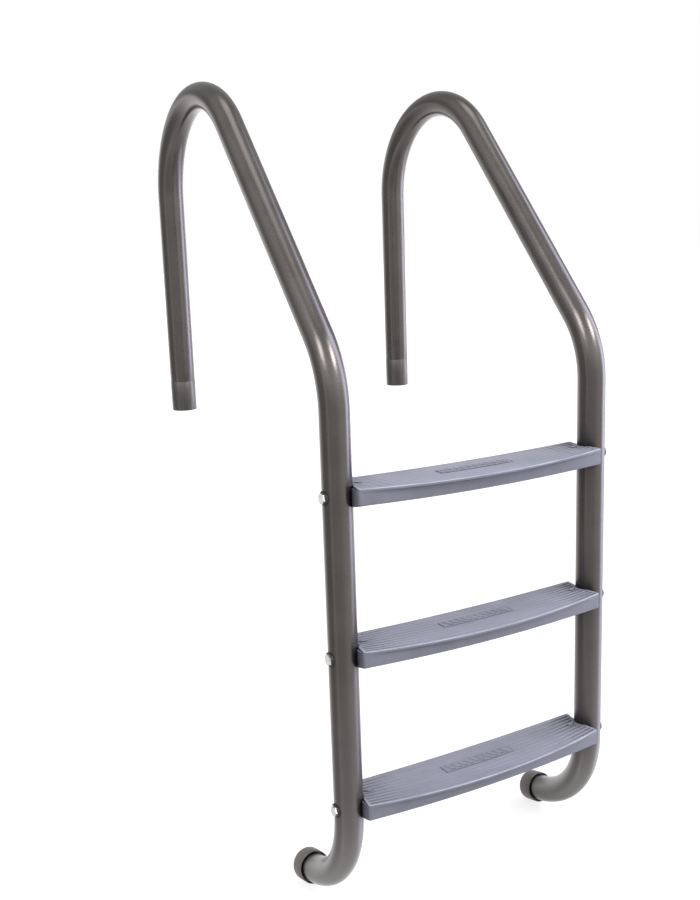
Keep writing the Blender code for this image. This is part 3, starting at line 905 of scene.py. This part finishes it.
def eye_mark():
    """A small almond-shaped boss that stands beside each rail seat."""
    rings = []
    for step in range(EYE_STEPS + 1):
        along = -1 + 2 * step / EYE_STEPS
        width = EYE_HALF_WIDTH * (1 - along * along) + EYE_TIP_HALF_WIDTH
        height = EYE_HEIGHT * (1 - EYE_TIP_LOWER * along * along)
        ring = circle(1, along * EYE_HALF_LENGTH, EYE_SIDES)
        rings.append([(x, width * across, height * up) for across, up, x in ring])
    return loft("eye mark", rings)


def tread_mesh():
    """One tread, with its top's plane at z = 0 and its middle between the rail axes."""
    steps = [("UNION", pad_plate(), IN_PLACE)]
    steps += [("DIFFERENCE", cell_block(*cell), IN_PLACE) for cell in tread_cells()]
    for sign in SIDES.values():
        steps.append(("DIFFERENCE", shoulder_cutter(sign), IN_PLACE))
        steps.append(("DIFFERENCE", seat_cutter(), Matrix.Translation((sign * RAIL_SPACING / 2, 0, 0))))
        steps.append(bolt_hole((sign * WALL_INSIDE, 0, -BOLT_BELOW_TREAD_TOP), TREAD_DRILL_LENGTH))
        x, y, z = EYE_PLACE
        turned = Matrix.Translation((sign * x, y, z)) @ Matrix.Rotation(sign * EYE_TURN, 4, "Z")
        steps.append(("UNION", eye_mark(), turned))
    return finished(combined("tread", tread_block(), steps), 38)


def build_treads(material):
    mesh = tread_mesh()
    for level in LEVELS:
        place = Matrix.Translation((0, RAIL_Y, TREAD_TOPS[level]))
        piece(f"{level}_tread_moulding", mesh, material, f"{level}_tread", place)


# ------------------------ fasteners

TURNED_SIDES = 96
WASHER_SIDES = 64

# A turned cut takes off a hexagon's corners, from a little inside its flats to just clear of its corners
HEX_CUT_SHARE = 1.15
HEX_CHAMFER = radians(30)
HEX_CUT_CLEAR = 0.0001
HEX_CUT_CLEAR_DROP = 0.00006
HEX_BLANK_PAST = 0.001

THREAD_PITCH = 0.0015
THREAD_DEPTH = 0.00078
THREAD_LENGTH = 0.016
THREAD_CREST = 1.15
THREAD_ROWS = 8
THREAD_SIDES = 48
THREAD_STOPS_BEFORE_END = 0.0008
POINT_INSET = 0.0008
POINT_CHAMFER = 0.0005

SADDLE_SOFT = 0.0004
SADDLE_SIDES = 128
SADDLE_CUT_LENGTH = 0.06
NUT_WASHER_SOFT = 0.0002
NUT_COUNTERSINK = 0.0006
NUT_BORE_PAST = 0.001

# How far each tread's bolts and nuts happen to be turned, on the left. The right ones turn the other way
WRENCH_DEGREES = {"upper": 14, "middle": 37, "lower": 3}
RIGHT_WRENCH_SHARE = -1.7


def chamfered_hex(name, start, height, both=False):
    """A hexagon along Z with its corners turned off, at its outer end or at both."""
    corner = HEX_FLATS / sqrt(3)
    cut = (corner - HEX_FLATS / 2) * HEX_CUT_SHARE
    outside = corner + HEX_CUT_CLEAR
    drop = cut * tan(HEX_CHAMFER) + HEX_CUT_CLEAR_DROP
    low, high = start, start + height
    profile = [(0, low), (corner - cut, low), (outside, low + drop)]
    profile += [(outside, high - drop), (corner - cut, high)] if both else [(outside, high)]
    profile += [(0, high)]
    blank = prism(name, corner, height + 2 * HEX_BLANK_PAST, 6, start - HEX_BLANK_PAST)
    return combined(name, blank, [("INTERSECT", lathe(name, profile, TURNED_SIDES), IN_PLACE)])


def thread_ring(z, thread_from):
    """A section of the helical thread, which fades in over one pitch before and after its start."""
    fade = smoothstep(thread_from - THREAD_PITCH, thread_from + THREAD_PITCH, z)
    ring = []
    for k in range(THREAD_SIDES):
        turn = (z / THREAD_PITCH - k / THREAD_SIDES) % 1.0
        tooth = 1 - abs(2 * turn - 1)
        radius = BOLT_RADIUS - THREAD_DEPTH * fade * (1 - min(1.0, tooth * THREAD_CREST))
        angle = 2 * pi * k / THREAD_SIDES
        ring.append((radius * cos(angle), radius * sin(angle), z))
    return ring


def threaded_shank(start, end):
    """A shank with a real helical thread along its last stretch and a chamfered point."""
    thread_from = end - THREAD_LENGTH
    heights = [start, (start + thread_from) / 2]
    z = thread_from - THREAD_PITCH
    while z < end - THREAD_STOPS_BEFORE_END:
        heights.append(z)
        z += THREAD_PITCH / THREAD_ROWS
    rings = [thread_ring(z, thread_from) for z in heights]
    point = BOLT_RADIUS - POINT_INSET
    rings.append(circle(point, end - POINT_CHAMFER, THREAD_SIDES))
    rings.append(circle(point - POINT_CHAMFER, end, THREAD_SIDES))
    return loft("shank", rings)


def bolt_mesh():
    """Along +Z, with the underside of its head at z = 0."""
    grip = SADDLE_THICKNESS + 2 * GAP + 2 * TUBE_RADIUS + GAP + NUT_WALL + GAP
    length = grip + NUT_WASHER_THICKNESS + GAP + NUT_HEIGHT + THREAD_PAST_NUT
    head = chamfered_hex("bolt head", -HEAD_HEIGHT, HEAD_HEIGHT)
    shank = threaded_shank(-HEAD_HEIGHT / 2, length)
    return finished(combined("bolt", head, [("UNION", shank, IN_PLACE)]), 30)


def saddle_washer_mesh():
    """Flat outside at z = 0, hollowed to sit on the tube, with a softened rim."""
    reach = SADDLE_THICKNESS + TUBE_RADIUS - sqrt(TUBE_RADIUS**2 - SADDLE_RADIUS**2)
    soft = SADDLE_SOFT
    profile = [(BOLT_HOLE_RADIUS, 0), (SADDLE_RADIUS - soft, 0), (SADDLE_RADIUS - soft * 0.3, soft * 0.3),
               (SADDLE_RADIUS, soft), (SADDLE_RADIUS, reach), (BOLT_HOLE_RADIUS, reach)]
    disc = lathe("saddle disc", profile, WASHER_SIDES, closed=True)
    tube = prism("saddle tube", TUBE_RADIUS + GAP, SADDLE_CUT_LENGTH, SADDLE_SIDES, -SADDLE_CUT_LENGTH / 2)
    seat = Matrix.Translation((0, 0, SADDLE_THICKNESS + TUBE_RADIUS + GAP)) @ Matrix.Rotation(pi / 2, 4, "Y")
    return finished(combined("saddle washer", disc, [("DIFFERENCE", tube, seat)]), 30)


def nut_washer_mesh():
    """Lying on z = 0, with softened rims."""
    soft = NUT_WASHER_SOFT
    thick = NUT_WASHER_THICKNESS
    wide = NUT_WASHER_RADIUS
    profile = [(BOLT_HOLE_RADIUS, 0), (wide - soft, 0), (wide, soft),
               (wide, thick - soft), (wide - soft, thick), (BOLT_HOLE_RADIUS, thick)]
    return finished(lathe("nut washer", profile, WASHER_SIDES, closed=True), 30)


def nut_mesh():
    """Lying on z = 0, with a bore countersunk at both ends."""
    body = chamfered_hex("nut", 0, NUT_HEIGHT, both=True)
    wide = BOLT_HOLE_RADIUS + NUT_COUNTERSINK + NUT_BORE_PAST
    profile = [(0, -NUT_BORE_PAST), (wide, -NUT_BORE_PAST), (BOLT_HOLE_RADIUS, NUT_COUNTERSINK),
               (BOLT_HOLE_RADIUS, NUT_HEIGHT - NUT_COUNTERSINK), (wide, NUT_HEIGHT + NUT_BORE_PAST),
               (0, NUT_HEIGHT + NUT_BORE_PAST)]
    bore = lathe("nut bore", profile, WASHER_SIDES)
    return finished(combined("nut", body, [("DIFFERENCE", bore, IN_PLACE)]), 25)


def build_fasteners(steel, nylon):
    saddle_x = RAIL_SPACING / 2 + TUBE_RADIUS + GAP + SADDLE_THICKNESS
    washer_x = WALL_INSIDE - GAP
    nut_x = washer_x - NUT_WASHER_THICKNESS - GAP
    stack = (("bolt", bolt_mesh(), saddle_x + GAP, steel, "stainless"),
             ("head_washer", saddle_washer_mesh(), saddle_x, nylon, "black_nylon"),
             ("nut_washer", nut_washer_mesh(), washer_x, steel, "stainless"),
             ("nut", nut_mesh(), nut_x, steel, "stainless"))
    for level in LEVELS:
        height = TREAD_TOPS[level] - BOLT_BELOW_TREAD_TOP
        for side, sign in SIDES.items():
            wrench = radians(WRENCH_DEGREES[level] * (1 if side == "left" else RIGHT_WRENCH_SHARE))
            for kind, mesh, x, material, slot in stack:
                twist = 0 if kind == "head_washer" else wrench
                inward = Matrix.Rotation(-sign * pi / 2, 4, "Y") @ Matrix.Rotation(twist, 4, "Z")
                place = Matrix.Translation((sign * x, RAIL_Y, height)) @ inward
                node = f"{level}_{side}_{kind}"
                piece(f"{node}_turned", mesh, material, node, place)


# ------------------------ bumpers

GATE_DIMPLE_RADIUS = 0.0024
GATE_DIMPLE_DEPTH = 0.0006
MOULD_LINE_DEPTH = 0.00018
MOULD_LINE_HALF_WIDTH = 0.0003
MOULD_LINE_BELOW_DOME = 0.0007
MOUTH_INNER_SOFT = 0.0003
SOCKET_ROUND = 0.0008
PLUG_CHAMFER = 0.002

# The outer rounding of the bumper's mouth, as (how far in from its side, height above its mouth)
MOUTH_ROUND = ((0, 0.0009), (0.00025, 0.0003), (0.0008, 0))


def bumper_mesh():
    """Turned about +Z: mouth at z = 0, dome up, plug below, with a mould line and a gate dimple."""
    corner = BUMPER_LENGTH - BUMPER_DOME
    socket = BUMPER_RADIUS - BUMPER_LIP
    plug = TUBE_RADIUS - TUBE_WALL - 2 * GAP
    floor = SOCKET_DEPTH + GAP
    plug_end = floor - PLUG_LENGTH
    bore_end = floor + PLUG_BORE_PAST_SOCKET
    dimple = BUMPER_LENGTH - GATE_DIMPLE_DEPTH
    line = corner - MOULD_LINE_BELOW_DOME

    profile = [(0, dimple), (GATE_DIMPLE_RADIUS - GATE_DIMPLE_DEPTH, dimple)]
    profile += [(GATE_DIMPLE_RADIUS, BUMPER_LENGTH)]
    profile += arc((BUMPER_RADIUS - BUMPER_DOME, corner), BUMPER_DOME, 90, 0, 12)
    profile += [(BUMPER_RADIUS, line + MOULD_LINE_HALF_WIDTH), (BUMPER_RADIUS - MOULD_LINE_DEPTH, line),
                (BUMPER_RADIUS, line - MOULD_LINE_HALF_WIDTH)]
    profile += [(BUMPER_RADIUS - inset, above) for inset, above in MOUTH_ROUND]
    profile += [(socket + MOUTH_INNER_SOFT, 0), (socket, MOUTH_INNER_SOFT)]
    profile += [(socket, floor - SOCKET_ROUND), (socket - SOCKET_ROUND, floor)]
    profile += [(plug, floor), (plug, plug_end + PLUG_CHAMFER), (plug - PLUG_CHAMFER, plug_end)]
    profile += [(PLUG_BORE_RADIUS, plug_end), (PLUG_BORE_RADIUS, bore_end), (0, bore_end)]
    return finished(lathe("bumper", profile, TURNED_SIDES), 32)


def build_bumpers(material):
    mesh = bumper_mesh()
    end, _ = rail_centre_line()[-1]
    mouth = Vector((end.x - SOCKET_DEPTH * cos(FOOT_DIP), end.y + SOCKET_DEPTH * sin(FOOT_DIP)))
    dipped = Matrix.Rotation(-(pi / 2 + FOOT_DIP), 4, "X")
    for side in SIDES:
        place = Matrix.Translation((RAIL_X[side], mouth.x, mouth.y)) @ dipped
        piece(f"{side}_bumper_cap", mesh, material, f"{side}_bumper", place)


# ------------------------ studio

# The view's direction in degrees, the camera's place from the upper tread's middle, and its lens
VIEW_AZIMUTH = -29.16
VIEW_ELEVATION = 11.69
VIEW_ROLL = -1.95
CAMERA_PLACE = (-1.0047, -1.3902, 0.3813)
LENS = 42.62
SENSOR = 36

WHITE = (1, 1, 1, 1)
NEAR_WHITE = (1.0, 0.99, 0.985, 1)
SKY_BLUE = (0.78, 0.79, 1.0, 1)
FLOOR_GREY = (0.36, 0.36, 0.36, 1)
FLOOR_GLOW = 0.72
FLOOR_HALF_SIZE = 30
FLOOR_BELOW = 0.0015

# Upright strips of light: degrees from the view's azimuth, half width, bottom and top as sines, strength
STRIPS = ((-50, 0.13, -0.9, 0.70, 0.5),
          (-32, 0.19, 0.42, 0.80, 7.5),
          (60, 0.19, 0.44, 0.80, 13.0))
SIDE_STRIP = (106, 0.26, -0.80, 0.85, 4.0)
STRIP_SOFT_END = 0.15


def build_floor():
    """A pale floor that glows a little, takes the ladder's shadow and sends no light back to the ladder."""
    work = bmesh.new()
    bmesh.ops.create_grid(work, x_segments=8, y_segments=8, size=FLOOR_HALF_SIZE)
    mesh = from_bmesh(work, "studio_floor")
    floor = bpy.data.objects.new("studio_floor", mesh)
    scene.collection.objects.link(floor)
    floor.location = (0, 0, -FLOOR_BELOW)
    s = Shader("pale_floor")
    mesh.materials.append(s.principled(Base_Color=FLOOR_GREY, Roughness=0.9, Specular_IOR_Level=0.1,
                                       Emission_Color=WHITE, Emission_Strength=FLOOR_GLOW))
    floor.visible_diffuse = False
    floor.visible_glossy = False


def build_world():
    """What the ladder sees of the studio: strips of light on grey. The camera itself sees plain white."""
    world = bpy.data.worlds.new("studio_world")
    scene.world = world
    w = Nodes(world, "Generated")
    height = w.axis("Z")

    def along(turn):
        """The cosine between a ray and the level direction at this many degrees from the view's azimuth."""
        azimuth = radians(VIEW_AZIMUTH + turn)
        made = w.node("ShaderNodeVectorMath", operation="DOT_PRODUCT")
        w.set(made.inputs[0], w.position)
        w.set(made.inputs[1], (sin(azimuth), -cos(azimuth), 0))
        return made.outputs["Value"]

    def strip(turn, half_width, bottom, top, strength):
        off = w.math("ABSOLUTE", along(turn + 90))
        lit = w.remap(off, half_width * 0.6, half_width * 1.2, strength, 0.0)
        lit = w.times(lit, w.remap(along(turn), 0.0, 0.2))
        lit = w.times(lit, w.remap(height, bottom, bottom + STRIP_SOFT_END))
        return w.times(lit, w.remap(height, top - STRIP_SOFT_END, top, 1.0, 0.0))

    # Grey all round: dimmer below and overhead, darker on the left, brighter on the right
    light = w.remap(height, -0.30, 0.60, 0.60, 1.00)
    light = w.times(light, w.remap(height, 0.68, 0.90, 1.0, 0.74))
    light = w.times(light, w.remap(along(-82), 0.50, 0.97, 1.0, 0.62))
    light = w.plus(light, w.remap(along(80), 0.35, 0.95, 0.0, 0.40))

    # Behind the ladder, half as bright high up, with a glow along the horizon
    high_behind = w.times(w.remap(along(180), 0.0, 0.5), w.remap(height, 0.05, 0.30))
    light = w.times(light, w.remap(high_behind, 0.0, 1.0, 1.0, 0.50))
    low = w.remap(height, 0.0, 0.25, 1.0, 0.0)
    light = w.plus(light, w.times(w.remap(along(180), 0.15, 0.8, 0.0, 0.70), low))

    # A broad band over the camera, a small lamp right overhead and a faint one right below
    band = w.times(w.remap(height, 0.10, 0.35, 0.0, 0.38), w.remap(height, 0.55, 0.80, 1.0, 0.0))
    light = w.plus(light, w.times(band, w.remap(along(0), -0.3, 0.3)))
    light = w.plus(light, w.remap(height, 0.945, 0.99, 0.0, 2.0))
    light = w.plus(light, w.remap(height, -0.95, -0.60, 0.25, 0.0))
    for numbers in STRIPS:
        light = w.plus(light, strip(*numbers))

    # The bluish strip beside the ladder, dimmer low down
    side = w.times(strip(*SIDE_STRIP), w.remap(height, -0.50, -0.08, 0.40, 1.0))
    colour = w.mix(w.remap(side, 0.2, 2.0), NEAR_WHITE, SKY_BLUE)

    lighting = w.node("ShaderNodeBackground")
    w.set(lighting.inputs["Color"], colour)
    w.set(lighting.inputs["Strength"], w.plus(light, side))
    backdrop = w.tree.nodes["Background"]
    w.set(backdrop.inputs["Color"], WHITE)
    choose = w.node("ShaderNodeMixShader")
    w.set(choose.inputs["Fac"], w.node("ShaderNodeLightPath").outputs["Is Camera Ray"])
    w.set(choose.inputs[1], lighting.outputs[0])
    w.set(choose.inputs[2], backdrop.outputs[0])
    w.set(w.tree.nodes["World Output"].inputs["Surface"], choose.outputs[0])


def build_camera():
    """In front of the ladder and to its left, a little above the upper tread and tipped down."""
    azimuth, elevation, roll = radians(VIEW_AZIMUTH), radians(VIEW_ELEVATION), radians(VIEW_ROLL)
    data = bpy.data.cameras.new("camera")
    data.sensor_width = SENSOR
    data.lens = LENS
    camera = bpy.data.objects.new("camera", data)
    scene.collection.objects.link(camera)
    back = Vector((sin(azimuth) * cos(elevation), -cos(azimuth) * cos(elevation), sin(elevation)))
    right = (-back).cross(Vector((0, 0, 1))).normalized()
    up = right.cross(-back)
    across = right * cos(roll) + up * sin(roll)
    upwards = up * cos(roll) - right * sin(roll)
    turn = Matrix((across, upwards, back)).transposed().to_4x4()
    tread_middle = Vector((0, RAIL_Y, TREAD_TOPS["upper"]))
    camera.matrix_world = Matrix.Translation(tread_middle + Vector(CAMERA_PLACE)) @ turn
    scene.camera = camera


build_rails(rail_material())
build_treads(tread_material())
build_fasteners(steel_material(), nylon_material())
build_bumpers(bumper_material())
bpy.data.collections.remove(workshop)

build_floor()
build_world()
build_camera()
scene.view_settings.view_transform = "Standard"
